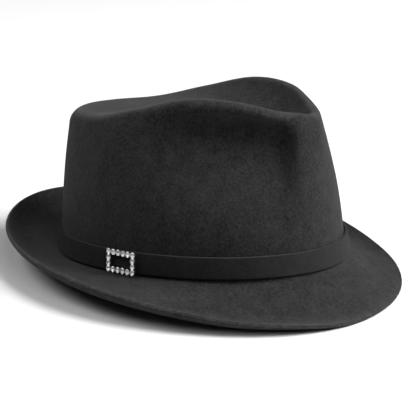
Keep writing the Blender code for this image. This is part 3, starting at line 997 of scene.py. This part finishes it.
def camera_matrix():
    """Where the camera stands: the photo's place in the hat's own frame, carried with the hat as it lies."""
    studio = studio_settings()
    turn, rise = studio.camera_turn, studio.camera_rise
    back = Vector((-math.cos(turn) * math.cos(rise), -math.sin(turn) * math.cos(rise), math.sin(rise)))
    right = Vector((math.sin(turn), -math.cos(turn), 0.0))
    up = back.cross(right)
    aim = Vector((0.0, 0.0, studio.camera_height)) + right * studio.camera_side
    place = Matrix((right, up, back)).transposed().to_4x4()
    place.translation = aim + back * studio.camera_distance
    return lying_matrix() @ place


def make_camera():
    studio = studio_settings()
    lens = bpy.data.cameras.new("camera")
    lens.sensor_fit = "HORIZONTAL"
    lens.sensor_width = SENSOR * 1000.0
    lens.lens = SENSOR * 1000.0 * studio.camera_distance / studio.view_width
    lens.clip_start = 0.01
    camera = bpy.data.objects.new("camera", lens)
    bpy.context.scene.collection.objects.link(camera)
    camera.matrix_world = camera_matrix()
    bpy.context.scene.camera = camera
    return camera


Softbox = namedtuple("Softbox", "name turn rise distance width power")
SOFTBOXES = (
    Softbox(name="key_softbox", turn=28.0, rise=46.0, distance=3.5, width=2.2, power=335.0),
    Softbox(name="front_softbox", turn=-40.0, rise=45.0, distance=3.5, width=2.0, power=42.0),
    Softbox(name="back_softbox", turn=-152.0, rise=45.0, distance=3.5, width=2.0, power=82.0),
)


def make_softbox(box):
    """A square area light that aims at the hat. turn is its place seen from above, as for a view."""
    light = bpy.data.lights.new(box.name, "AREA")
    light.shape = "SQUARE"
    light.size = box.width
    light.energy = box.power
    lamp = bpy.data.objects.new(box.name, light)
    bpy.context.scene.collection.objects.link(lamp)
    turn, rise = math.radians(box.turn), math.radians(box.rise)
    back = Vector((math.sin(turn) * math.cos(rise), -math.cos(turn) * math.cos(rise), math.sin(rise)))
    lamp.location = Vector((0.0, 0.0, 0.06)) + back * box.distance
    lamp.rotation_euler = back.to_track_quat("Z", "Y").to_euler()
    return lamp


def make_floor():
    """A pale level floor, large enough to fill every view."""
    half = 12.0
    cuts = np.linspace(-half, half, 9)
    across, along = np.meshgrid(cuts, cuts, indexing="ij")
    points = np.stack([across, along, np.full_like(across, -0.0001)], axis=-1).reshape(-1, 3)
    row, column = np.meshgrid(np.arange(8), np.arange(8), indexing="ij")
    first = row * 9 + column
    faces = np.stack([first, first + 9, first + 10, first + 1], axis=-1).reshape(-1, 4)
    mesh = bpy.data.meshes.new("studio_floor")
    mesh.from_pydata(points.tolist(), [], faces.tolist())
    mesh.materials.append(studio_floor())
    floor = bpy.data.objects.new("studio_floor", mesh)
    bpy.context.scene.collection.objects.link(floor)
    return floor


def make_sky():
    """Even light from all round."""
    world = bpy.data.worlds.new("studio_sky")
    world.use_nodes = True
    background = world.node_tree.nodes["Background"]
    background.inputs["Color"].default_value = linear("#ffffff")
    background.inputs["Strength"].default_value = studio_settings().sky_strength
    bpy.context.scene.world = world
    bpy.context.scene.view_settings.view_transform = "Standard"


class TRILBY_OT_felt(bpy.types.Operator):
    """Make the crown and brim in one felt"""

    bl_idname = "trilby.make_felt"
    bl_label = "Felt body"

    def execute(self, context):
        make_felt_body()
        return {"FINISHED"}


class TRILBY_OT_band(bpy.types.Operator):
    """Make the felt band"""

    bl_idname = "trilby.make_band"
    bl_label = "Band"

    def execute(self, context):
        make_band()
        return {"FINISHED"}


class TRILBY_OT_buckle(bpy.types.Operator):
    """Make the buckle's setting"""

    bl_idname = "trilby.make_buckle"
    bl_label = "Buckle"

    def execute(self, context):
        make_buckle()
        return {"FINISHED"}


class TRILBY_OT_stones(bpy.types.Operator):
    """Make the cut stones in the buckle"""

    bl_idname = "trilby.make_stones"
    bl_label = "Stones"

    def execute(self, context):
        make_stones()
        return {"FINISHED"}


class TRILBY_OT_studio(bpy.types.Operator):
    """Make the floor, the light and the camera"""

    bl_idname = "trilby.make_studio"
    bl_label = "Studio"

    def execute(self, context):
        make_floor()
        make_sky()
        for box in SOFTBOXES:
            make_softbox(box)
        make_camera()
        return {"FINISHED"}


class TRILBY_PT_panel(bpy.types.Panel):
    """The trilby's settings and steps"""

    bl_idname = "TRILBY_PT_panel"
    bl_label = "Felt trilby"
    bl_space_type = "VIEW_3D"
    bl_region_type = "UI"
    bl_category = "Trilby"

    def draw(self, context):
        for group in ("trilby_felt", "trilby_band", "trilby_buckle", "trilby_studio"):
            settings = getattr(context.scene, group)
            box = self.layout.box()
            for key in settings.__annotations__:
                box.prop(settings, key)
        for operator in OPERATORS:
            self.layout.operator(operator.bl_idname)


SETTINGS = (
    ("trilby_felt", FeltSettings),
    ("trilby_band", BandSettings),
    ("trilby_buckle", BuckleSettings),
    ("trilby_studio", StudioSettings),
)
OPERATORS = (TRILBY_OT_felt, TRILBY_OT_band, TRILBY_OT_buckle, TRILBY_OT_stones, TRILBY_OT_studio)


def register():
    for name, group in SETTINGS:
        bpy.utils.register_class(group)
        setattr(bpy.types.Scene, name, bpy.props.PointerProperty(type=group))
    for operator in OPERATORS:
        bpy.utils.register_class(operator)
    bpy.utils.register_class(TRILBY_PT_panel)


def unregister():
    bpy.utils.unregister_class(TRILBY_PT_panel)
    for operator in reversed(OPERATORS):
        bpy.utils.unregister_class(operator)
    for name, group in reversed(SETTINGS):
        delattr(bpy.types.Scene, name)
        bpy.utils.unregister_class(group)


def main():
    """Make every piece and the stage."""
    register()
    bpy.ops.trilby.make_felt()
    bpy.ops.trilby.make_band()
    bpy.ops.trilby.make_buckle()
    bpy.ops.trilby.make_stones()
    bpy.ops.trilby.make_studio()


if __name__ == "__main__":
    main()
